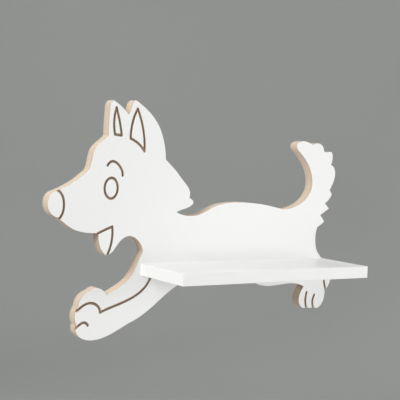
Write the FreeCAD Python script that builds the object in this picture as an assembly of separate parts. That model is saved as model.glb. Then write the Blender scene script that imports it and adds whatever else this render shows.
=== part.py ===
"""Wall shelf shaped like a running dog, built as separate solids.

Millimetres, +Z up, +Y into the wall.  The rear face of the panel lies in the
plane y = 0 and the origin is midway between the keyhole entries of the two
hanger plates.
"""
import FreeCAD
import Part
import math
import os

from FreeCAD import Vector

# ---- overall sizes ------------------------------------------------------
panel_width = 520.0          # nose to the last tuft of fur
panel_height = 350.0         # sole of the front paw to the tip of the ear
board_thickness = 18.0       # panel and shelf are cut from the same board
shelf_length_share = 340.0 / 520.0
shelf_depth = 120.0
shelf_top_drop = 40.0        # shelf top below the keyhole entries

# ---- board make-up ------------------------------------------------------
facing = 0.3                 # melamine skin on each broad face
edge_band = 0.8              # plastic strip on the shelf edges

# ---- routed lines -------------------------------------------------------
groove_width = 4.0
groove_depth = 3.0
groove_overshoot = 1.0       # cutter above the face
groove_steps = 4             # spline steps between two points of a centre line

# ---- shelf fixings ------------------------------------------------------
screw_count = 3
screw_inset = 50.0           # outer screws from the ends of the shelf
screw_length = 50.0
screw_head = 10.0            # head diameter
screw_head_rim = 1.0         # straight part of the head
screw_head_depth = 3.5       # rear of the head to the start of the collar
screw_collar = 7.0           # plain part inside the panel
screw_core = 5.0             # part inside the shelf
screw_point = 2.0            # length of the blunt tip
screw_hole_gap = 1.0         # hole beyond the tip
hex_socket_width = 4.0       # across the flats
hex_socket_depth = 2.5
dowel_diameter = 8.0
dowel_length = 30.0
dowel_chamfer = 0.8
dowel_end_gap = 1.0          # both ends together

# ---- hangers ------------------------------------------------------------
hanger_spacing_share = 180.0 / 520.0
plate_width = 16.0
plate_thickness = 1.5
plate_gap = 0.2              # clearance all round in the pocket
plate_rim = 1.0              # steel beyond the head of each plate screw
entry_diameter = 9.0
slot_width = 5.0
slot_rise = 8.0
head_pocket_width = 11.0
head_pocket_depth = 7.0
plate_screw_web = 1.5        # board between the head pocket and a screw head
plate_screw_shank = 3.0
plate_screw_head = 6.0
plate_screw_length = 12.0
plate_screw_point = 2.5      # length of the tip
plate_screw_tip = 0.6        # diameter at the tip
recess_depth = 1.0           # cross recess in the head
recess_slot = 0.7            # width of each of its arms

# ---- derived ------------------------------------------------------------
scale_x = panel_width / 520.0
scale_z = panel_height / 350.0
shelf_length = shelf_length_share * panel_width
shelf_top = -shelf_top_drop * scale_z
shelf_middle = shelf_top - board_thickness / 2
hanger_x = hanger_spacing_share * panel_width / 2
front = -board_thickness
dowel_in_panel = dowel_length / 3
plate_rise = slot_rise / 2
plate_screw_reach = (slot_rise + head_pocket_width + plate_screw_head) / 2 + plate_screw_web
plate_height = 2 * plate_screw_reach + plate_screw_head + 2 * plate_rim

# ---- outline of the dog, clockwise from the nose, (x, z) ----------------
# two points make a straight edge, more make one smooth curve
nose = [(-313, 65), (-321, 58), (-323, 48), (-318, 35), (-307, 29)]
jaw = [(-307, 29), (-297, 21), (-280, 11), (-264, 7), (-242, 6)]
tongue = [(-242, 6), (-241, -5), (-236, -19), (-228, -27)]
throat = [(-228, -27), (-216, -19), (-206, -6), (-191, 1), (-176, -6), (-167, -23)]
chest = [(-167, -23), (-175, -39), (-186, -60), (-202, -73), (-225, -85)]
knuckle = [(-225, -85), (-233, -77), (-241, -74), (-251, -78)]
upper_toe = [(-251, -78), (-262, -84), (-269, -94), (-270, -100)]
middle_toe = [(-270, -100), (-275, -113), (-272, -127)]
lower_toe = [(-272, -127), (-272, -138), (-262, -147), (-245, -150), (-219, -144), (-186, -128)]
foreleg_under = [(-186, -128), (-135, -96), (-100, -73), (-60, -65), (-10, -68), (42, -78)]
belly = [(42, -78), (80, -83), (118, -81), (140, -87)]
inner_hind_toe = [(140, -87), (133, -99), (131, -110), (134, -118), (141, -123), (147, -121)]
middle_hind_toe = [(147, -121), (154, -123.5), (163, -122)]
outer_hind_toe = [(163, -122), (172, -124), (181, -116), (185, -104), (186, -91)]
heel_fur = [(186, -91), (189, -92)]
haunch = [(189, -92), (195, -82), (196, -64), (182, -46), (166, -31), (160, -8), (163, 11)]
tail_root_fur = [(163, 11), (170, 15), (177, 20)]
tail_root_notch = [(177, 20), (172, 27), (168, 31)]
tail_fur_1 = [(168, 31), (178, 37), (186, 42)]
tail_notch_1 = [(186, 42), (177, 51)]
tail_fur_2 = [(177, 51), (185, 57), (191, 66)]
tail_notch_2 = [(191, 66), (186, 73)]
tail_fur_3 = [(186, 73), (193, 86), (196, 101), (194, 109), (186, 115)]
tail_fur_4 = [(186, 115), (189, 126), (186, 136), (178, 136), (170, 137)]
tail_fur_5 = [(170, 137), (167, 145), (161, 149), (147, 146)]
tail_tip = [(147, 146), (138, 150), (125, 152), (114, 147), (116, 137)]
tail_inside = [(116, 137), (134, 120), (147, 96), (148, 77), (135, 56), (113, 44), (92, 40)]
back = [(92, 40), (63, 46), (27, 50.5), (-13, 50.5), (-41, 45), (-70, 32), (-96, 31), (-112, 36)]
ruff_under = [(-112, 36), (-102, 40), (-90, 44), (-83, 49), (-90, 58)]
neck = [(-90, 58), (-89, 66), (-100, 82), (-116, 99), (-134, 115)]
far_ear_back = [(-134, 115), (-137, 136), (-149, 166), (-166, 185), (-188, 200)]
far_ear_front = [(-188, 200), (-192, 197), (-195, 188), (-200, 179)]
near_ear_back = [(-200, 179), (-212, 190), (-225, 198)]
near_ear_front = [(-225, 198), (-228, 195), (-230, 184), (-231, 166), (-231, 147)]
forehead = [(-231, 147), (-241, 138), (-250, 130), (-256, 112), (-260, 97)]
bridge = [(-260, 97), (-282, 80), (-313, 65)]

outline = [
    nose, jaw, tongue, throat, chest, knuckle, upper_toe, middle_toe, lower_toe,
    foreleg_under, belly, inner_hind_toe, middle_hind_toe, outer_hind_toe, heel_fur,
    haunch, tail_root_fur, tail_root_notch, tail_fur_1, tail_notch_1, tail_fur_2,
    tail_notch_2, tail_fur_3, tail_fur_4, tail_fur_5, tail_tip, tail_inside, back,
    ruff_under, neck, far_ear_back, far_ear_front, near_ear_back, near_ear_front,
    forehead, bridge,
]

# ---- centre lines of the routed grooves, (x, z) --------------------------
grooves = [
    [(-310, 68), (-301, 60), (-298, 47), (-300, 34), (-307, 25)],     # nose
    [(-243, 5.5), (-231, 10.8), (-220, 15)],                          # mouth
    [(-220, 15), (-220, -5), (-228.5, -30)],                          # tongue
    [(-231, 104), (-223, 110), (-212, 104), (-206, 90)],              # brow
    [(-220, 188), (-223, 168), (-221, 149)],                          # near ear
    [(-221, 149), (-210, 148)],
    [(-210, 148), (-214, 168), (-220, 188)],
    [(-185, 188), (-193, 166), (-195, 144)],                          # far ear
    [(-195, 144), (-183, 138), (-171, 126)],
    [(-171, 126), (-174, 156), (-185, 188)],
    [(-152, -60), (-163.5, -78), (-191, -94.5), (-235, -110)],        # foreleg
    [(-235, -110), (-241, -99), (-252, -95.5), (-262, -98.5), (-272, -106)],  # paw
    [(-274, -132), (-268.5, -127), (-261, -123.5), (-254, -128)],     # front toe
    [(147, -97), (145, -109), (149, -126)],                           # hind toes
    [(163.5, -102), (160, -112), (165, -128)],
    [(180, -64), (183, -80), (187, -95)],                             # heel
]
eye_centre = (-224, 71)
eye_width = 21.2
eye_height = 30.0

# ---- parts of the front skin that closed lines cut free, a point in each --
facing_islands = {
    "nose": (-312, 48),
    "eye": eye_centre,
    "near_ear": (-217, 160),
    "far_ear": (-182, 158),
    "tongue": (-230, -6),
}


def at(point, y):
    return Vector(point[0] * scale_x, y, point[1] * scale_z)


def curve(points, y):
    """Straight edge through two points, smooth curve through more."""
    places = [at(point, y) for point in points]
    if len(places) == 2:
        return Part.makeLine(places[0], places[1])
    spline = Part.BSplineCurve()
    spline.interpolate(places)
    return spline.toShape()


def dog(y_from, y_to):
    """Solid with the dog's outline between two depths."""
    edges = [curve(points, y_to) for points in outline]
    face = Part.Face(Part.Wire(edges))
    return face.extrude(Vector(0, y_from - y_to, 0))


def cylinder(x, z, diameter, y_from, y_to):
    """Round bar along Y; y_from is the end nearer the wall."""
    length = y_from - y_to
    return Part.makeCylinder(diameter / 2, length, Vector(x, y_from, z), Vector(0, -1, 0))


def cone(x, z, wide, narrow, y_from, y_to):
    length = y_from - y_to
    return Part.makeCone(wide / 2, narrow / 2, length, Vector(x, y_from, z), Vector(0, -1, 0))


def box(x_from, x_to, y_from, y_to, z_from, z_to):
    corner = Vector(x_from, y_from, z_from)
    return Part.makeBox(x_to - x_from, y_to - y_from, z_to - z_from, corner)


def stadium(x, z_low, z_high, width, y_from, y_to):
    """Upright slot with round ends centred on z_low and z_high."""
    low = cylinder(x, z_low, width, y_from, y_to)
    high = cylinder(x, z_high, width, y_from, y_to)
    middle = box(x - width / 2, x + width / 2, y_to, y_from, z_low, z_high)
    return low.fuse(high).fuse(middle)


def centre_curve(points, y):
    places = [at(point, y) for point in points]
    if len(places) == 2:
        return Part.LineSegment(places[0], places[1])
    spline = Part.BSplineCurve()
    spline.interpolate(places)
    return spline


def band(points, y):
    """Flat strip of the groove's width along a centre line, with round ends."""
    line = centre_curve(points, y)
    steps = groove_steps * len(points)
    left, right = [], []
    for step in range(steps + 1):
        place = line.FirstParameter + (line.LastParameter - line.FirstParameter) * step / steps
        middle = line.value(place)
        along = Vector(*line.tangent(place)[0]).normalize()
        across = Vector(along.z, 0, -along.x) * (groove_width / 2)
        left.append(middle + across)
        right.append(middle - across)
        if step == 0:
            start = middle - along * (groove_width / 2)
        end = middle + along * (groove_width / 2)
    edges = [
        side_curve(left),
        Part.Arc(left[-1], end, right[-1]).toShape(),
        side_curve(right[::-1]),
        Part.Arc(right[0], start, left[0]).toShape(),
    ]
    return Part.Face(Part.Wire(edges))


def side_curve(places):
    spline = Part.BSplineCurve()
    spline.interpolate(places)
    return spline.toShape()


def groove_cutter():
    """All routed lines as one cutter, each line round at both ends."""
    deep = front + groove_depth
    proud = front - groove_overshoot
    cutters = [band(points, deep).extrude(Vector(0, proud - deep, 0)) for points in grooves]
    return eye_cutter(deep, proud).fuse(cutters)


def check_routed(layer, depth):
    """Stops the build if a routed line is missing from a layer."""
    for points in grooves:
        line = centre_curve(points, depth)
        place = line.value((line.FirstParameter + line.LastParameter) / 2)
        if layer.isInside(place, 0.001, True):
            raise ValueError("a routed line near %r was not cut" % (points[0],))


def eye_cutter(deep, proud):
    """Upright oval ring."""
    centre = at(eye_centre, deep)
    ring = []
    for grow in (groove_width / 2, -groove_width / 2):
        half_width = eye_width * scale_x / 2 + grow
        half_height = eye_height * scale_z / 2 + grow
        top = centre + Vector(0, 0, half_height)
        side = centre + Vector(half_width, 0, 0)
        ring.append(oval(centre, top, side))
    band = ring[0].cut(ring[1])
    return band.extrude(Vector(0, proud - deep, 0))


def oval(centre, end, side):
    """Flat oval from its centre and one point on each axis."""
    if (end - centre).Length >= (side - centre).Length:
        shape = Part.Ellipse(end, side, centre)
    else:
        shape = Part.Ellipse(side, end, centre)
    return Part.Face(Part.Wire([shape.toShape()]))


def screw_places():
    """Screw centres along the shelf, evenly spaced between the insets."""
    reach = shelf_length / 2 - screw_inset
    step = 2 * reach / (screw_count - 1)
    return [index * step - reach for index in range(screw_count)]


def dowel_places():
    places = screw_places()
    return [(left + right) / 2 for left, right in zip(places, places[1:])]


def shelf_screw(x, extra=0.0):
    """Connecting screw, head flush with the rear of the panel."""
    rim = -screw_head_rim
    neck = -screw_head_depth
    tip = -(screw_length - screw_point)
    head = cylinder(x, shelf_middle, screw_head, 0, rim)
    taper = cone(x, shelf_middle, screw_head, screw_collar, rim, neck)
    collar = cylinder(x, shelf_middle, screw_collar, neck, front)
    thread = cylinder(x, shelf_middle, screw_core, front, tip)
    point = cone(x, shelf_middle, screw_core, screw_core / 2, tip, -screw_length)
    body = head.fuse([taper, collar, thread, point])
    if extra:
        body = body.fuse(cylinder(x, shelf_middle, screw_core, front, -screw_length - extra))
    return body.removeSplitter()


def hex_socket(x):
    """Six-sided recess in the screw head."""
    radius = hex_socket_width / math.sqrt(3)
    corners = []
    for index in range(7):
        angle = math.radians(60 * index)
        corners.append(Vector(x + radius * math.cos(angle), 0,
                              shelf_middle + radius * math.sin(angle)))
    return Part.Face(Part.makePolygon(corners)).extrude(Vector(0, -hex_socket_depth, 0))


def dowel(x, gap=0.0):
    """Wooden pin, one third in the panel and the rest in the shelf."""
    rear = front + dowel_in_panel + gap
    tip = rear - dowel_length - 2 * gap
    pin = cylinder(x, shelf_middle, dowel_diameter, rear, tip)
    if gap:
        return pin
    ends = [edge for edge in pin.Edges if edge.Closed]
    return pin.makeChamfer(dowel_chamfer, ends)


def plate_blank(x, gap, y_from, y_to):
    """Hanger plate or its pocket, round at both ends."""
    reach = plate_height / 2 - plate_width / 2
    return stadium(x, plate_rise - reach, plate_rise + reach, plate_width + 2 * gap, y_from, y_to)


def plate_screw_heights():
    return [plate_rise - plate_screw_reach, plate_rise + plate_screw_reach]


def plate_screw(x, z):
    """Small countersunk wood screw, flush with the plate."""
    sink = -plate_thickness
    tip = -(plate_screw_length - plate_screw_point)
    head = cone(x, z, plate_screw_head, plate_screw_shank, 0, sink)
    shank = cylinder(x, z, plate_screw_shank, sink, tip)
    point = cone(x, z, plate_screw_shank, plate_screw_tip, tip, -plate_screw_length)
    return head.fuse([shank, point]).removeSplitter()


def cross_recess(x, z):
    reach = plate_screw_head / 4
    half = recess_slot / 2
    bar = box(x - reach, x + reach, -recess_depth, 0, z - half, z + half)
    post = box(x - half, x + half, -recess_depth, 0, z - reach, z + reach)
    return bar.fuse(post)


def hanger_plate(x):
    """Steel plate with a keyhole and two countersunk holes."""
    plate = plate_blank(x, 0, 0, -plate_thickness)
    plate = plate.cut(cylinder(x, 0, entry_diameter, 0, -plate_thickness))
    plate = plate.cut(stadium(x, 0, slot_rise, slot_width, 0, -plate_thickness))
    for z in plate_screw_heights():
        plate = plate.cut(cone(x, z, plate_screw_head, plate_screw_shank, 0, -plate_thickness))
    return plate.removeSplitter()


def panel_cutters():
    """Everything taken out of the board of the panel."""
    cutters = [groove_cutter()]
    for x in screw_places():
        cutters.append(shelf_screw(x))
    for x in dowel_places():
        cutters.append(dowel(x, dowel_end_gap / 2))
    for side in (-1, 1):
        x = side * hanger_x
        cutters.append(plate_blank(x, plate_gap, 0, -plate_thickness))
        inner = -plate_thickness - head_pocket_depth
        cutters.append(stadium(x, 0, slot_rise, head_pocket_width, 0, inner))
        for z in plate_screw_heights():
            cutters.append(plate_screw(x, z))
    return cutters


def panel_layer(y_from, y_to, cutters):
    """One layer of the panel; the layers behind the front carry the cuts too."""
    layer = dog(y_from, y_to)
    for cutter in cutters:
        layer = layer.cut(cutter)
    if y_to < front + groove_depth:
        check_routed(layer, max(y_to, front) + facing / 2)
    return layer


def split_front_facing(cutters):
    """The front skin and the islands that closed lines cut free from it."""
    layer = panel_layer(front + facing, front, cutters)
    pieces = {}
    for solid in layer.Solids:
        name = "panel_front_facing"
        for island, point in facing_islands.items():
            if solid.isInside(at(point, front + facing / 2), 0.01, True):
                name = "facing_" + island
        if name in pieces:
            raise ValueError("two pieces of the front skin are both " + name)
        pieces[name] = solid
    return pieces


def shelf_layer(z_from, z_to):
    half = shelf_length / 2
    y_front = front - shelf_depth + edge_band
    return box(-half + edge_band, half - edge_band, y_front, front, z_from, z_to)


def shelf_core():
    core = shelf_layer(shelf_top - board_thickness + facing, shelf_top - facing)
    for x in screw_places():
        core = core.cut(shelf_screw(x, screw_hole_gap))
    for x in dowel_places():
        core = core.cut(dowel(x, dowel_end_gap / 2))
    return core


def shelf_end_band(side):
    half = shelf_length / 2
    inner = half - edge_band
    x_from, x_to = (inner, half) if side > 0 else (-half, -inner)
    y_front = front - shelf_depth + edge_band
    return box(x_from, x_to, y_front, front, shelf_top - board_thickness, shelf_top)


def shelf_front_band():
    half = shelf_length / 2
    y_front = front - shelf_depth
    return box(-half, half, y_front, y_front + edge_band, shelf_top - board_thickness, shelf_top)


def build():
    cutters = panel_cutters()
    nodes = {
        "panel_core": panel_layer(-facing, front + facing, cutters),
        "panel_rear_facing": panel_layer(0, -facing, cutters),
        "shelf_core": shelf_core(),
        "shelf_top_facing": shelf_layer(shelf_top - facing, shelf_top),
        "shelf_under_facing": shelf_layer(shelf_top - board_thickness,
                                          shelf_top - board_thickness + facing),
        "shelf_front_band": shelf_front_band(),
        "shelf_left_band": shelf_end_band(-1),
        "shelf_right_band": shelf_end_band(1),
    }
    nodes.update(split_front_facing(cutters))
    for number, x in enumerate(screw_places(), 1):
        nodes["shelf_screw_%d" % number] = shelf_screw(x).cut(hex_socket(x))
    for number, x in enumerate(dowel_places(), 1):
        nodes["dowel_%d" % number] = dowel(x)
    for name, side in (("left", -1), ("right", 1)):
        x = side * hanger_x
        nodes["hanger_plate_" + name] = hanger_plate(x)
        for place, z in zip(("lower", "upper"), plate_screw_heights()):
            screw = plate_screw(x, z).cut(cross_recess(x, z))
            nodes["hanger_screw_%s_%s" % (name, place)] = screw
    return nodes


def main():
    os.makedirs("parts", exist_ok=True)
    for name, shape in build().items():
        if len(shape.Solids) != 1:
            raise ValueError("%s has %d solids" % (name, len(shape.Solids)))
        solid = shape.Solids[0]
        if not solid.isValid():
            raise ValueError(name + " is not a valid solid")
        solid.exportStep("parts/%s.step" % name)
        size = solid.BoundBox
        print("%-28s %8.1f x %7.1f x %7.1f  volume %.0f"
              % (name, size.XLength, size.YLength, size.ZLength, solid.Volume))


main()
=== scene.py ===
"""Looks of the dog-shaped wall shelf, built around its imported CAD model."""
import math

import bmesh
import bpy
from bpy.props import FloatProperty, FloatVectorProperty, IntProperty, PointerProperty
from mathutils import Matrix, Vector


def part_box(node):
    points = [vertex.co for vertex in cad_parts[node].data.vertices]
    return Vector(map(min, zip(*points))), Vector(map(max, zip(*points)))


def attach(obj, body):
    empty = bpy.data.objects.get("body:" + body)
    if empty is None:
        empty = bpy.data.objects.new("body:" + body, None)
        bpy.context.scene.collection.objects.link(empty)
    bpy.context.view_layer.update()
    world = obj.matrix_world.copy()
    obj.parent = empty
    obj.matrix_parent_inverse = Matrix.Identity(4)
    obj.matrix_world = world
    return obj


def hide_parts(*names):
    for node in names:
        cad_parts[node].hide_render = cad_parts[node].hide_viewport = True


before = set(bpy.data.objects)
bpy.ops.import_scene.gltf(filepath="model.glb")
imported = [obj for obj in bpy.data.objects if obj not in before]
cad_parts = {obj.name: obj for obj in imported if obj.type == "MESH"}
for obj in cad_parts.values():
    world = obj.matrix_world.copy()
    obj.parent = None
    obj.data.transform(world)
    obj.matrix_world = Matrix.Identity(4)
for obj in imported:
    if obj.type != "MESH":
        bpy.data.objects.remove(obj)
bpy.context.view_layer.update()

bl_info = {
    "name": "Dog Wall Shelf",
    "version": (1, 0, 0),
    "blender": (4, 5, 0),
    "location": "View3D > Sidebar > Dog Shelf",
    "description": "Builds the visible pieces of a wall shelf in the outline of a running dog",
    "category": "Object",
}

MM = 0.001
WELD = 0.002 * MM                   # corners closer than this are one corner
NEAR = 0.02 * MM                    # an edge this close to a plane lies in it
FLAT_ANGLE = math.radians(0.4)      # faces that meet flatter than this are one face
CREASE = math.radians(30)           # edges sharper than this stay sharp
SQUARE = 0.99999                    # part of a unit normal along one axis on a flat face
ROUND_STEPS = 2
BAND_ROUND_STEPS = 4
QUARTER_TURN = math.radians(90)
LEAST_GROOVE = 1.0 * MM             # a routed floor lies deeper than this

FLUTE_STEPS = 4                     # corners from one flute of a dowel to the next
THREAD_STEPS = 20                   # corners round one turn
THREAD_FLANK = 0.22                 # half width of the ridge, as a share of the pitch
THREAD_END = 0.1                    # height where the ridge has run out, as a share
THREAD_BITE = 0.1 * MM              # foot of the ridge inside the core
THREAD_MARGIN = 3.0 * MM            # plain core before the thread
SHELF_SCREW_POINT = 4.0 * MM        # plain length at the tip
PLATE_SCREW_POINT = 2.6 * MM

MIX_FIRST = 6                       # colour sockets of a mix node
MIX_SECOND = 7
MIX_RESULT = 2
NOISE_LOW, NOISE_HIGH = 0.3, 0.7    # most of a noise lies between these
SCREW_GRAIN = (900, 2600, 900)      # turned lines round a screw, in grains a metre
SHEET_GRAIN = (3200, 3200, 160)     # rolled lines up a plate
RAW_ROUGHNESS = (0.82, 0.94)        # of sawn and routed board

COVE_RADIUS = 1.0                   # metres, where the floor curves up
COVE_STEPS = 12
BACKDROP_HEIGHT = 7.0
BACKDROP_STEPS = 96
SKY_COLOUR = (0.95, 0.97, 1, 1)
AIM = (0, 0, 0.02)                  # point that the lights face
KEY_PLACE, KEY_SIZE = (-2.2, -0.6, 1.3), 1.2
SIDE_PLACE, SIDE_SIZE = (1.8, -2.2, 0.2), 1.4
LOW_PLACE, LOW_SIZE = (-0.2, -2.2, -0.9), 1.5
BACK_PLACE, BACK_SIZE = (0.4, 2.4, 1.4), 1.8
SENSOR_WIDTH = 36                   # millimetres, as the lens is

PANEL_BACK = 0.0
PANEL_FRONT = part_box("panel_front_facing")[0].y
SHELF_LOW, SHELF_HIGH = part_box("shelf_front_band")
SKIN_ISLANDS = ("nose", "eye", "near_ear", "far_ear", "tongue")
SIDES = ("left", "right")
ENDS = ("lower", "upper")


# ---- settings -------------------------------------------------------------
class DogShelfBoardSettings(bpy.types.PropertyGroup):
    """Colours and edges of the two boards"""
    skin_colour: FloatVectorProperty(
        name="Skin colour", description="White melamine on the faces of the boards",
        subtype="COLOR", size=3, min=0, max=1, default=(0.83, 0.85, 0.835))
    board_colour: FloatVectorProperty(
        name="Board colour", description="Sawn and routed edge of the fibreboard",
        subtype="COLOR", size=3, min=0, max=1, default=(0.63, 0.505, 0.39))
    # Darker than the board's edge, partly for the cutter's burn and partly as painted shade for
    # the deep, narrow groove.
    groove_burn_and_shade_colour: FloatVectorProperty(
        name="Groove colour", description="Fibreboard at the bottom of the routed lines",
        subtype="COLOR", size=3, min=0, max=1, default=(0.38, 0.29, 0.21))
    skin_arris: FloatProperty(
        name="Skin arris", description="Width of the sanded corner of the melamine skins",
        unit="LENGTH", min=0, default=0.12 * MM)
    band_radius: FloatProperty(
        name="Band radius", description="Rounding of the outer corners of the edge bands",
        unit="LENGTH", min=0, default=0.5 * MM)


class DogShelfFixingSettings(bpy.types.PropertyGroup):
    """Sizes and colours of the screws, dowels and hanger plates"""
    zinc_colour: FloatVectorProperty(
        name="Zinc colour", description="Bright zinc plate on the screws and hanger plates",
        subtype="COLOR", size=3, min=0, max=1, default=(0.66, 0.68, 0.70))
    beech_colour: FloatVectorProperty(
        name="Beech colour", description="Bare beech of the dowels",
        subtype="COLOR", size=3, min=0, max=1, default=(0.62, 0.42, 0.25))
    shelf_screw_core: FloatProperty(
        name="Shelf screw core", description="Diameter at the foot of the coarse thread",
        unit="LENGTH", min=0.001, default=5.0 * MM)
    shelf_screw_thread: FloatProperty(
        name="Shelf screw thread", description="Diameter over the coarse thread",
        unit="LENGTH", min=0.001, default=6.8 * MM)
    shelf_screw_pitch: FloatProperty(
        name="Shelf screw pitch", description="Distance from one thread to the next",
        unit="LENGTH", min=0.001, default=3.0 * MM)
    plate_screw_core: FloatProperty(
        name="Plate screw core", description="Diameter at the foot of the fine thread",
        unit="LENGTH", min=0.001, default=3.0 * MM)
    plate_screw_thread: FloatProperty(
        name="Plate screw thread", description="Diameter over the fine thread",
        unit="LENGTH", min=0.001, default=3.6 * MM)
    plate_screw_pitch: FloatProperty(
        name="Plate screw pitch", description="Distance from one thread to the next",
        unit="LENGTH", min=0.0005, default=1.3 * MM)
    metal_arris: FloatProperty(
        name="Metal arris", description="Rounded corner of the stamped and turned steel",
        unit="LENGTH", min=0, default=0.15 * MM)
    flutes: IntProperty(
        name="Dowel flutes", description="Glue flutes pressed into each dowel",
        min=6, max=60, default=20)
    flute_depth: FloatProperty(
        name="Flute depth", description="Depth of the flutes pressed into the dowels",
        unit="LENGTH", min=0, default=0.2 * MM)
    dowel_chamfer: FloatProperty(
        name="Dowel chamfer", description="Length of the narrowed ends of the dowels",
        unit="LENGTH", min=0, default=0.8 * MM)


class DogShelfStudioSettings(bpy.types.PropertyGroup):
    """Floor, backdrop, lights and camera"""
    floor_colour: FloatVectorProperty(
        name="Floor colour", description="Pale floor and the backdrop it curves up into",
        subtype="COLOR", size=3, min=0, max=1, default=(0.55, 0.555, 0.54))
    floor_drop: FloatProperty(
        name="Floor drop", description="Depth of the floor below the hangers",
        unit="LENGTH", default=1.15)
    studio_radius: FloatProperty(
        name="Studio radius", description="Distance from the shelf to the round backdrop",
        unit="LENGTH", default=4.5)
    key_power: FloatProperty(
        name="Key light", description="Soft light from high on the nose side", unit="POWER",
        default=54.0)
    side_power: FloatProperty(
        name="Side light", description="Level light from the front on the tail side",
        unit="POWER", default=29.0)
    low_power: FloatProperty(
        name="Low light", description="Weak light from below the shelf, as from a pale floor",
        unit="POWER", default=11.0)
    back_power: FloatProperty(
        name="Back light", description="Soft light for the side that faces the wall",
        unit="POWER", default=42.0)
    sky_strength: FloatProperty(
        name="Sky", description="Strength of the even light from above", min=0, default=0.6)
    camera_place: FloatVectorProperty(
        name="Camera place", description="Where the camera stands", subtype="TRANSLATION",
        unit="LENGTH", size=3, default=(-0.9022, -1.3101, 0.1361))
    camera_turn: FloatProperty(
        name="Camera turn", description="Turn to the right of straight ahead",
        subtype="ANGLE", default=math.radians(32.77))
    camera_tilt: FloatProperty(
        name="Camera tilt", description="Tilt below the horizon", subtype="ANGLE",
        default=math.radians(3.03))
    camera_roll: FloatProperty(
        name="Camera roll", description="Roll about the view direction", subtype="ANGLE",
        default=math.radians(2.36))
    camera_lens: FloatProperty(
        name="Camera lens", description="Focal length for a 36 mm sensor", min=10, default=90.36)


# ---- mesh helpers ---------------------------------------------------------
def welded_copy(node):
    """Copy of a CAD node's mesh with its corners welded and flat faces joined."""
    mesh = bmesh.new()
    mesh.from_mesh(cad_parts[node].data)
    bmesh.ops.remove_doubles(mesh, verts=mesh.verts, dist=WELD)
    bmesh.ops.dissolve_limit(mesh, angle_limit=FLAT_ANGLE, verts=mesh.verts, edges=mesh.edges,
                             use_dissolve_boundaries=False, delimit={"NORMAL"})
    mesh.normal_update()
    return mesh


def creased(edge):
    return len(edge.link_faces) == 2 and edge.calc_face_angle(0) > CREASE


def round_edges(mesh, edges, width, segments=ROUND_STEPS):
    """Bevels the given edges with a round profile."""
    bmesh.ops.bevel(mesh, geom=edges, offset=width, offset_type="OFFSET", segments=segments,
                    profile=0.5, affect="EDGES", material=-1, clamp_overlap=True)


def middle(edge):
    return (edge.verts[0].co + edge.verts[1].co) / 2


def rim_at(mesh, axis, level):
    """The sharp edges that lie in a plane across one axis."""
    return [edge for edge in mesh.edges
            if creased(edge) and abs(middle(edge)[axis] - level) < NEAR]


def drop_flaps(mesh):
    """Deletes the pairs of faces that a bevel left folded onto each other."""
    twins = {}
    for face in mesh.faces:
        twins.setdefault(frozenset(face.verts), []).append(face)
    flaps = [face for group in twins.values() if len(group) > 1 for face in group]
    bmesh.ops.delete(mesh, geom=flaps, context="FACES")


def make_piece(mesh, name, replaced, materials):
    """Turns the mesh into an object that rides on the shelf's only body."""
    bmesh.ops.dissolve_degenerate(mesh, dist=WELD, edges=mesh.edges)
    bmesh.ops.triangulate(mesh, faces=[face for face in mesh.faces if len(face.verts) > 4])
    drop_flaps(mesh)
    mesh.normal_update()
    for edge in mesh.edges:
        edge.smooth = not creased(edge)
    for face in mesh.faces:
        face.smooth = max(abs(part) for part in face.normal) < SQUARE
    data = bpy.data.meshes.new(name)
    mesh.to_mesh(data)
    mesh.free()
    # a CAD mesh brings its own normals, which don't fit the rounded one
    if "custom_normal" in data.attributes:
        data.attributes.remove(data.attributes["custom_normal"])
    for material in materials:
        data.materials.append(material)
    piece = bpy.data.objects.new(name, data)
    bpy.context.scene.collection.objects.link(piece)
    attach(piece, "root")
    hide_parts(replaced)


def add_thread(mesh, centre, start, end, core, crest, pitch):
    """Closed helical ridge round a screw that points along -Y, run out at both ends."""
    before = set(mesh.verts)
    foot = core / 2 - THREAD_BITE
    half = pitch * THREAD_FLANK
    ring = [mesh.verts.new((centre.x + foot, start + half, centre.z)),
            mesh.verts.new((centre.x + crest / 2, start, centre.z)),
            mesh.verts.new((centre.x + foot, start - half, centre.z))]
    edges = [mesh.edges.new(pair) for pair in zip(ring, ring[1:] + ring[:1])]
    steps = int((start - end) / pitch * THREAD_STEPS)
    bmesh.ops.spin(mesh, geom=ring + edges, cent=centre, axis=(0, 1, 0),
                   dvec=(0, -pitch / THREAD_STEPS, 0), angle=math.tau * steps / THREAD_STEPS,
                   steps=steps, use_merge=False)
    open_edges = [edge for edge in mesh.edges if edge.is_boundary]
    bmesh.ops.holes_fill(mesh, edges=open_edges, sides=3)
    fresh = [vert for vert in mesh.verts if vert not in before]
    for vert in fresh:
        away = Vector((vert.co.x - centre.x, 0, vert.co.z - centre.z))
        inside = min(start - vert.co.y, vert.co.y - end) / pitch
        most = foot + (crest / 2 - foot) * max(THREAD_END, min(1.0, inside))
        if away.length > most:
            vert.co -= away * (1 - most / away.length)
    faces = {face for vert in fresh for face in vert.link_faces}
    bmesh.ops.recalc_face_normals(mesh, faces=list(faces))


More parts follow.
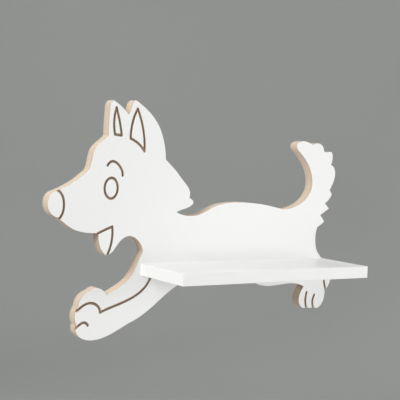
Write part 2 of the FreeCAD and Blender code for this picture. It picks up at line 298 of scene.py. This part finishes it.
# ---- material helpers -----------------------------------------------------
class Shader:
    """A new material with its surface shader and pattern coordinates."""

    def __init__(self, name):
        self.material = bpy.data.materials.new(name)
        self.material.use_nodes = True
        self.tree = self.material.node_tree
        self.surface = self.tree.nodes["Principled BSDF"]
        self.place = self.add("ShaderNodeTexCoord").outputs["Object"]

    def add(self, kind, **values):
        """New node; values name its settings, or its inputs with _ for spaces."""
        node = self.tree.nodes.new(kind)
        for key, value in values.items():
            if hasattr(node, key):
                setattr(node, key, value)
            else:
                node.inputs[key.replace("_", " ")].default_value = value
        return node

    def link(self, output, node, socket):
        self.tree.links.new(output, node.inputs[socket])

    def set(self, **values):
        for key, value in values.items():
            self.surface.inputs[key.replace("_", " ")].default_value = value

    def stretched(self, scale):
        """Pattern coordinates in metres times a scale for each axis."""
        mapping = self.add("ShaderNodeMapping")
        mapping.inputs["Scale"].default_value = scale
        self.link(self.place, mapping, "Vector")
        return mapping.outputs["Vector"]

    def noise(self, scale, detail=3.0, roughness=0.5):
        """Noise whose grains are 1 / scale metres long on each axis."""
        node = self.add("ShaderNodeTexNoise", Scale=1.0, Detail=detail, Roughness=roughness)
        self.link(self.stretched(scale), node, "Vector")
        return node.outputs["Fac"]

    def ramp(self, value, stops):
        """Colour ramp; stops are (place, colour) pairs."""
        node = self.add("ShaderNodeValToRGB")
        elements = node.color_ramp.elements
        while len(elements) < len(stops):
            elements.new(0.5)
        for element, (place, colour) in zip(elements, stops):
            element.position = place
            element.color = (*colour, 1.0)
        self.link(value, node, "Fac")
        return node.outputs["Color"]

    def mix(self, amount, first, second, blend="MIX"):
        """Mixes two colour outputs by an output or a number."""
        node = self.add("ShaderNodeMix", data_type="RGBA", blend_type=blend)
        if isinstance(amount, float):
            node.inputs["Factor"].default_value = amount
        else:
            self.link(amount, node, "Factor")
        self.tree.links.new(first, node.inputs[MIX_FIRST])
        self.tree.links.new(second, node.inputs[MIX_SECOND])
        return node.outputs[MIX_RESULT]

    def span(self, value, to_low, to_high, low=NOISE_LOW, high=NOISE_HIGH):
        """Maps an output, a noise unless told otherwise, to another range of numbers."""
        node = self.add("ShaderNodeMapRange")
        for socket, number in zip(("From Min", "From Max", "To Min", "To Max"),
                                  (low, high, to_low, to_high)):
            node.inputs[socket].default_value = number
        self.link(value, node, "Value")
        return node.outputs["Result"]

    def bump(self, layers):
        """Stacks (height output, strength, distance) layers of bump."""
        normal = None
        for height, strength, distance in layers:
            node = self.add("ShaderNodeBump", Strength=strength, Distance=distance)
            self.link(height, node, "Height")
            if normal is not None:
                self.link(normal, node, "Normal")
            normal = node.outputs["Normal"]
        self.link(normal, self.surface, "Normal")


def shade(colour, factor):
    return tuple(min(1.0, channel * factor) for channel in colour)


def tinted(colour, tint):
    return tuple(min(1.0, channel * part) for channel, part in zip(colour, tint))


def white_melamine(name, colour):
    """Satin melamine: faint pebble, soft cloudy sheen and a trace of dust."""
    shader = Shader(name)
    cloud = shader.noise((9, 9, 9), detail=4)
    pebble = shader.noise((1300, 1300, 1300), detail=2)
    fine = shader.noise((5200, 5200, 5200), detail=1)
    base = shader.ramp(cloud, [(0.35, shade(colour, 0.985)), (0.65, shade(colour, 1.012))])
    speck = shader.ramp(fine, [(0.3, (0.975, 0.972, 0.965)), (0.45, (1, 1, 1))])
    shader.link(shader.mix(1.0, base, speck, "MULTIPLY"), shader.surface, "Base Color")
    shader.link(shader.span(cloud, 0.36, 0.47), shader.surface, "Roughness")
    shader.set(Specular_IOR_Level=0.42, IOR=1.5)
    shader.bump([(pebble, 0.16, 0.03 * MM), (fine, 0.1, 0.01 * MM)])
    return shader.material


def fibreboard(name, colour, depth_bands=True):
    """Raw routed fibreboard: dense outer layers, loose core, fibres and cutter marks."""
    shader = Shader(name)
    fibres = shader.noise((700, 2600, 700), detail=5, roughness=0.62)
    clumps = shader.noise((160, 420, 160), detail=3)
    cutter = shader.noise((520, 3, 520), detail=2)
    warm = tinted(colour, (1.06, 0.99, 0.9))
    pale = tinted(colour, (1.14, 1.17, 1.2))
    base = shader.ramp(fibres, [(0.28, shade(colour, 0.72)), (0.5, colour), (0.72, pale)])
    patch = shader.ramp(clumps, [(0.3, (0.9, 0.89, 0.87)), (0.7, (1.04, 1.03, 1.02))])
    base = shader.mix(1.0, base, patch, "MULTIPLY")
    marks = shader.ramp(cutter, [(0.36, (0.9, 0.88, 0.86)), (0.5, (1, 1, 1))])
    base = shader.mix(0.8, base, marks, "MULTIPLY")
    if depth_bands:
        split = shader.add("ShaderNodeSeparateXYZ")
        shader.link(shader.place, split, "Vector")
        across = shader.span(split.outputs["Y"], 0.0, 1.0, PANEL_BACK, PANEL_FRONT)
        skin = shade(warm, 0.78)
        layers = shader.ramp(across, [(0.0, skin), (0.13, colour), (0.5, pale),
                                      (0.87, colour), (1.0, skin)])
        base = shader.mix(0.45, base, layers)
    shader.link(base, shader.surface, "Base Color")
    shader.link(shader.span(fibres, *RAW_ROUGHNESS), shader.surface, "Roughness")
    shader.set(Specular_IOR_Level=0.2, Sheen_Weight=0.08, Sheen_Roughness=0.5)
    shader.bump([(cutter, 0.25, 0.12 * MM), (fibres, 0.45, 0.1 * MM)])
    return shader.material


def edge_plastic(name, colour):
    """White edge band: drawn lines along the strip and a slightly glossier face."""
    shader = Shader(name)
    drawn = shader.noise((14, 900, 2600), detail=3)
    cloud = shader.noise((22, 22, 22), detail=2)
    base = shader.ramp(cloud, [(0.3, shade(colour, 0.985)), (0.7, shade(colour, 1.01))])
    shader.link(base, shader.surface, "Base Color")
    shader.link(shader.span(drawn, 0.28, 0.4), shader.surface, "Roughness")
    shader.set(Specular_IOR_Level=0.5, IOR=1.5)
    shader.bump([(drawn, 0.12, 0.02 * MM)])
    return shader.material


def zinc_plate(name, colour, grain):
    """Bright zinc over steel: rolled or turned grain and cloudy passivation."""
    shader = Shader(name)
    cloud = shader.noise((260, 260, 260), detail=4)
    lines = shader.noise(grain, detail=3, roughness=0.6)
    blue = tinted(colour, (0.93, 0.98, 1.06))
    straw = tinted(colour, (1.06, 1.02, 0.9))
    base = shader.ramp(cloud, [(0.3, blue), (0.52, colour), (0.74, straw)])
    shader.link(base, shader.surface, "Base Color")
    shader.link(shader.span(lines, 0.24, 0.42), shader.surface, "Roughness")
    shader.set(Metallic=1.0)
    shader.bump([(lines, 0.2, 0.02 * MM)])
    return shader.material


def beech(name, colour):
    """Turned beech with the grain along the dowel and short dark flecks."""
    shader = Shader(name)
    grain = shader.noise((2400, 90, 2400), detail=4, roughness=0.6)
    flecks = shader.noise((1500, 420, 1500), detail=1)
    base = shader.ramp(grain, [(0.3, shade(colour, 0.78)), (0.55, colour),
                               (0.8, shade(colour, 1.2))])
    dark = shader.ramp(flecks, [(0.3, (0.68, 0.6, 0.54)), (0.38, (1, 1, 1))])
    shader.link(shader.mix(1.0, base, dark, "MULTIPLY"), shader.surface, "Base Color")
    shader.link(shader.span(grain, 0.6, 0.74), shader.surface, "Roughness")
    shader.bump([(grain, 0.4, 0.05 * MM)])
    return shader.material


def shared(name, maker, *values):
    """The material of that name, made on first use."""
    return bpy.data.materials.get(name) or maker(name, *values)


# ---- pieces ---------------------------------------------------------------
class DOGSHELF_OT_panel_board(bpy.types.Operator):
    """Builds the dog's fibreboard with its cut edge and the floors of the routed lines"""
    bl_idname = "dogshelf.panel_board"
    bl_label = "Panel board"

    def execute(self, context):
        look = context.scene.dogshelf_boards
        mesh = welded_copy("panel_core")
        face_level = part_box("panel_core")[0].y
        towards_front = [face for face in mesh.faces if face.normal.y < -SQUARE]
        depths = {face: face.calc_center_median().y for face in towards_front}
        floor = min(depth for depth in depths.values() if depth > face_level + LEAST_GROOVE)
        for face, depth in depths.items():
            face.material_index = 1 if abs(depth - floor) < NEAR else 0
        edge = shared("raw_board_edge", fibreboard, look.board_colour)
        # The groove floors get the darker colour: partly the cutter's burn, partly painted shade
        # for the recess.
        groove = shared("routed_groove", fibreboard, look.groove_burn_and_shade_colour, False)
        make_piece(mesh, "panel_board", "panel_core", [edge, groove])
        return {"FINISHED"}


class DOGSHELF_OT_panel_skins(bpy.types.Operator):
    """Builds the white skins of the panel, with the islands inside closed lines"""
    bl_idname = "dogshelf.panel_skins"
    bl_label = "Panel skins"

    def execute(self, context):
        look = context.scene.dogshelf_boards
        white = shared("white_melamine", white_melamine, look.skin_colour)
        nodes = {"panel_front_facing": "front_skin", "panel_rear_facing": "rear_skin"}
        nodes.update({"facing_" + island: "skin_" + island for island in SKIN_ISLANDS})
        for node, name in nodes.items():
            mesh = welded_copy(node)
            outer = PANEL_BACK if node == "panel_rear_facing" else PANEL_FRONT
            round_edges(mesh, rim_at(mesh, 1, outer), look.skin_arris)
            make_piece(mesh, name, node, [white])
        return {"FINISHED"}


class DOGSHELF_OT_shelf_board(bpy.types.Operator):
    """Builds the shelf's board and its two white skins"""
    bl_idname = "dogshelf.shelf_board"
    bl_label = "Shelf board"

    def execute(self, context):
        look = context.scene.dogshelf_boards
        white = shared("white_melamine", white_melamine, look.skin_colour)
        raw = shared("raw_shelf_board", fibreboard, look.board_colour, False)
        make_piece(welded_copy("shelf_core"), "shelf_board", "shelf_core", [raw])
        for node, name, outer in (("shelf_top_facing", "shelf_top_skin", SHELF_HIGH.z),
                                  ("shelf_under_facing", "shelf_under_skin", SHELF_LOW.z)):
            mesh = welded_copy(node)
            round_edges(mesh, rim_at(mesh, 2, outer), look.skin_arris)
            make_piece(mesh, name, node, [white])
        return {"FINISHED"}


class DOGSHELF_OT_shelf_bands(bpy.types.Operator):
    """Builds the white edge bands on the front and the two ends of the shelf"""
    bl_idname = "dogshelf.shelf_bands"
    bl_label = "Shelf edge bands"

    def execute(self, context):
        look = context.scene.dogshelf_boards
        plastic = shared("white_edge_band", edge_plastic, look.skin_colour)
        for side in ("front", *SIDES):
            node = "shelf_%s_band" % side
            mesh = welded_copy(node)
            outer = [edge for edge in mesh.edges if creased(edge) and self.outside(edge, side)]
            round_edges(mesh, outer, look.band_radius, BAND_ROUND_STEPS)
            make_piece(mesh, "shelf_band_" + side, node, [plastic])
        return {"FINISHED"}

    def outside(self, edge, side):
        """True for the corners on the face that a hand would meet."""
        place = middle(edge)
        if side == "front":
            return abs(place.y - SHELF_LOW.y) < NEAR
        end = SHELF_LOW.x if side == "left" else SHELF_HIGH.x
        level = abs(edge.verts[0].co.z - edge.verts[1].co.z) < NEAR
        return level and abs(place.x - end) < NEAR


class DOGSHELF_OT_shelf_screws(bpy.types.Operator):
    """Builds the three connecting screws that hold the shelf to the panel"""
    bl_idname = "dogshelf.shelf_screws"
    bl_label = "Shelf screws"

    def execute(self, context):
        look = context.scene.dogshelf_fixings
        zinc = shared("zinc_screw", zinc_plate, look.zinc_colour, SCREW_GRAIN)
        for node in sorted(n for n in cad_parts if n.startswith("shelf_screw_")):
            low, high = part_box(node)
            mesh = welded_copy(node)
            round_edges(mesh, rim_at(mesh, 1, high.y), look.metal_arris)
            add_thread(mesh, (low + high) / 2, PANEL_FRONT - THREAD_MARGIN,
                       low.y + SHELF_SCREW_POINT, look.shelf_screw_core,
                       look.shelf_screw_thread, look.shelf_screw_pitch)
            make_piece(mesh, node.replace("shelf_screw", "connecting_screw"),
                       node, [zinc])
        return {"FINISHED"}


class DOGSHELF_OT_dowels(bpy.types.Operator):
    """Builds the two fluted beech dowels"""
    bl_idname = "dogshelf.dowels"
    bl_label = "Dowels"

    def execute(self, context):
        look = context.scene.dogshelf_fixings
        wood = shared("bare_beech", beech, look.beech_colour)
        for node in sorted(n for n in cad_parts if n.startswith("dowel_")):
            low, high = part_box(node)
            mesh = bmesh.new()
            self.fluted_pin(mesh, low, high, look)
            make_piece(mesh, "beech_" + node, node, [wood])
        return {"FINISHED"}

    def fluted_pin(self, mesh, low, high, look):
        """Closed pin along Y with pressed flutes and narrowed ends."""
        centre = (low + high) / 2
        radius = (high.x - low.x) / 2
        ring = bmesh.ops.create_circle(mesh, cap_ends=False, segments=look.flutes * FLUTE_STEPS,
                                       radius=radius)["verts"]
        for vert in ring[::FLUTE_STEPS]:
            vert.co *= 1 - look.flute_depth / radius
        stand = Matrix.Translation((centre.x, high.y, centre.z))
        turn = Matrix.Rotation(QUARTER_TURN, 4, "X")
        bmesh.ops.transform(mesh, matrix=stand @ turn, verts=ring)
        rings = [ring]
        edges = mesh.edges[:]
        chamfer = look.dowel_chamfer
        for step in (chamfer, high.y - low.y - 2 * chamfer, chamfer):
            made = bmesh.ops.extrude_edge_only(mesh, edges=edges)["geom"]
            edges = [item for item in made if isinstance(item, bmesh.types.BMEdge)]
            rings.append([item for item in made if isinstance(item, bmesh.types.BMVert)])
            bmesh.ops.translate(mesh, verts=rings[-1], vec=(0, -step, 0))
        narrow = 1 - chamfer / radius
        for end in (rings[0], rings[-1]):
            bmesh.ops.scale(mesh, vec=(narrow, 1, narrow), space=Matrix.Translation(-centre),
                            verts=end)
        bmesh.ops.holes_fill(mesh, edges=mesh.edges, sides=0)
        bmesh.ops.recalc_face_normals(mesh, faces=mesh.faces)


class DOGSHELF_OT_hanger_plates(bpy.types.Operator):
    """Builds the two keyhole hanger plates"""
    bl_idname = "dogshelf.hanger_plates"
    bl_label = "Hanger plates"

    def execute(self, context):
        look = context.scene.dogshelf_fixings
        zinc = shared("zinc_sheet", zinc_plate, look.zinc_colour, SHEET_GRAIN)
        for side in SIDES:
            node = "hanger_plate_" + side
            mesh = welded_copy(node)
            round_edges(mesh, rim_at(mesh, 1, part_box(node)[1].y), look.metal_arris)
            make_piece(mesh, "keyhole_plate_" + side, node, [zinc])
        return {"FINISHED"}


class DOGSHELF_OT_hanger_screws(bpy.types.Operator):
    """Builds the four small screws that hold the hanger plates"""
    bl_idname = "dogshelf.hanger_screws"
    bl_label = "Hanger screws"

    def execute(self, context):
        look = context.scene.dogshelf_fixings
        zinc = shared("zinc_screw", zinc_plate, look.zinc_colour, SCREW_GRAIN)
        for side in SIDES:
            for end in ENDS:
                node = "hanger_screw_%s_%s" % (side, end)
                low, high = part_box(node)
                mesh = welded_copy(node)
                add_thread(mesh, (low + high) / 2, PANEL_BACK - THREAD_MARGIN,
                           low.y + PLATE_SCREW_POINT, look.plate_screw_core,
                           look.plate_screw_thread, look.plate_screw_pitch)
                make_piece(mesh, "plate_screw_%s_%s" % (side, end), node, [zinc])
        return {"FINISHED"}


# ---- stage ----------------------------------------------------------------
def plain_paint(name, colour):
    """Matt painted floor and backdrop with a faint roller texture."""
    shader = Shader(name)
    roller = shader.noise((420, 420, 420), detail=2)
    cloud = shader.noise((0.7, 0.7, 0.7), detail=2)
    base = shader.ramp(cloud, [(0.3, shade(colour, 0.98)), (0.7, shade(colour, 1.02))])
    shader.link(base, shader.surface, "Base Color")
    shader.set(Roughness=0.9, Specular_IOR_Level=0.15)
    shader.bump([(roller, 0.1, 0.2 * MM)])
    return shader.material


def soft_light(name, place, size, power):
    """Square white area light that faces the shelf and is itself out of sight."""
    data = bpy.data.lights.new(name, "AREA")
    data.shape = "SQUARE"
    data.size = size
    data.energy = power
    light = bpy.data.objects.new(name, data)
    light.location = place
    light.visible_camera = False
    light.rotation_euler = (Vector(AIM) - Vector(place)).to_track_quat("-Z", "Y").to_euler()
    bpy.context.scene.collection.objects.link(light)


class DOGSHELF_OT_studio(bpy.types.Operator):
    """Builds the floor and backdrop, the lights and the camera"""
    bl_idname = "dogshelf.studio"
    bl_label = "Studio"

    def execute(self, context):
        look = context.scene.dogshelf_studio
        self.backdrop(look)
        self.lights(look)
        self.camera(context.scene, look)
        context.scene.view_settings.view_transform = "Standard"
        return {"FINISHED"}

    def backdrop(self, look):
        """Round floor that curves up into a wall on all sides."""
        mesh = bmesh.new()
        flat = look.studio_radius - COVE_RADIUS
        profile = [(0.0, 0.0), (flat, 0.0)]
        for step in range(1, COVE_STEPS + 1):
            angle = QUARTER_TURN * step / COVE_STEPS
            profile.append((flat + COVE_RADIUS * math.sin(angle),
                            COVE_RADIUS - COVE_RADIUS * math.cos(angle)))
        profile.append((look.studio_radius, BACKDROP_HEIGHT))
        verts = [mesh.verts.new((across, 0, up - look.floor_drop)) for across, up in profile]
        edges = [mesh.edges.new(pair) for pair in zip(verts, verts[1:])]
        bmesh.ops.spin(mesh, geom=verts + edges, cent=(0, 0, 0), axis=(0, 0, 1), dvec=(0, 0, 0),
                       angle=math.tau, steps=BACKDROP_STEPS, use_merge=True)
        bmesh.ops.remove_doubles(mesh, verts=mesh.verts, dist=WELD)
        bmesh.ops.recalc_face_normals(mesh, faces=mesh.faces)
        for face in mesh.faces:
            face.smooth = True
        data = bpy.data.meshes.new("floor")
        mesh.to_mesh(data)
        mesh.free()
        data.materials.append(shared("plain_paint", plain_paint, look.floor_colour))
        floor = bpy.data.objects.new("floor", data)
        bpy.context.scene.collection.objects.link(floor)

    def lights(self, look):
        soft_light("key_light", KEY_PLACE, KEY_SIZE, look.key_power)
        soft_light("side_light", SIDE_PLACE, SIDE_SIZE, look.side_power)
        soft_light("low_light", LOW_PLACE, LOW_SIZE, look.low_power)
        soft_light("back_light", BACK_PLACE, BACK_SIZE, look.back_power)
        world = bpy.data.worlds.new("studio_air")
        world.use_nodes = True
        background = world.node_tree.nodes["Background"]
        background.inputs["Color"].default_value = SKY_COLOUR
        background.inputs["Strength"].default_value = look.sky_strength
        bpy.context.scene.world = world

    def camera(self, scene, look):
        data = bpy.data.cameras.new("camera")
        data.lens = look.camera_lens
        data.sensor_width = SENSOR_WIDTH
        camera = bpy.data.objects.new("camera", data)
        turn = Matrix.Rotation(-look.camera_turn, 3, "Z")
        tilt = Matrix.Rotation(QUARTER_TURN - look.camera_tilt, 3, "X")
        roll = Matrix.Rotation(look.camera_roll, 3, "Z")
        camera.matrix_world = Matrix.LocRotScale(Vector(look.camera_place),
                                                 turn @ tilt @ roll, None)
        scene.collection.objects.link(camera)
        scene.camera = camera


class DOGSHELF_PT_build(bpy.types.Panel):
    """Lists the pieces of the shelf and their settings"""
    bl_idname = "DOGSHELF_PT_build"
    bl_label = "Dog Wall Shelf"
    bl_space_type = "VIEW_3D"
    bl_region_type = "UI"
    bl_category = "Dog Shelf"

    def draw(self, context):
        column = self.layout.column(align=True)
        for operator in BUILD_ORDER:
            column.operator(operator.bl_idname)
        for settings in (context.scene.dogshelf_boards, context.scene.dogshelf_fixings,
                         context.scene.dogshelf_studio):
            box = self.layout.box()
            for key in settings.__annotations__:
                box.prop(settings, key)


BUILD_ORDER = (
    DOGSHELF_OT_panel_board,
    DOGSHELF_OT_panel_skins,
    DOGSHELF_OT_shelf_board,
    DOGSHELF_OT_shelf_bands,
    DOGSHELF_OT_shelf_screws,
    DOGSHELF_OT_dowels,
    DOGSHELF_OT_hanger_plates,
    DOGSHELF_OT_hanger_screws,
    DOGSHELF_OT_studio,
)
SETTINGS = (DogShelfBoardSettings, DogShelfFixingSettings, DogShelfStudioSettings)


def register():
    for item in (*SETTINGS, *BUILD_ORDER, DOGSHELF_PT_build):
        bpy.utils.register_class(item)
    bpy.types.Scene.dogshelf_boards = PointerProperty(type=DogShelfBoardSettings)
    bpy.types.Scene.dogshelf_fixings = PointerProperty(type=DogShelfFixingSettings)
    bpy.types.Scene.dogshelf_studio = PointerProperty(type=DogShelfStudioSettings)


def unregister():
    del bpy.types.Scene.dogshelf_studio
    del bpy.types.Scene.dogshelf_fixings
    del bpy.types.Scene.dogshelf_boards
    for item in reversed((*SETTINGS, *BUILD_ORDER, DOGSHELF_PT_build)):
        bpy.utils.unregister_class(item)


def main():
    register()
    for operator in BUILD_ORDER:
        group, name = operator.bl_idname.split(".")
        getattr(getattr(bpy.ops, group), name)()


if __name__ == "__main__":
    main()
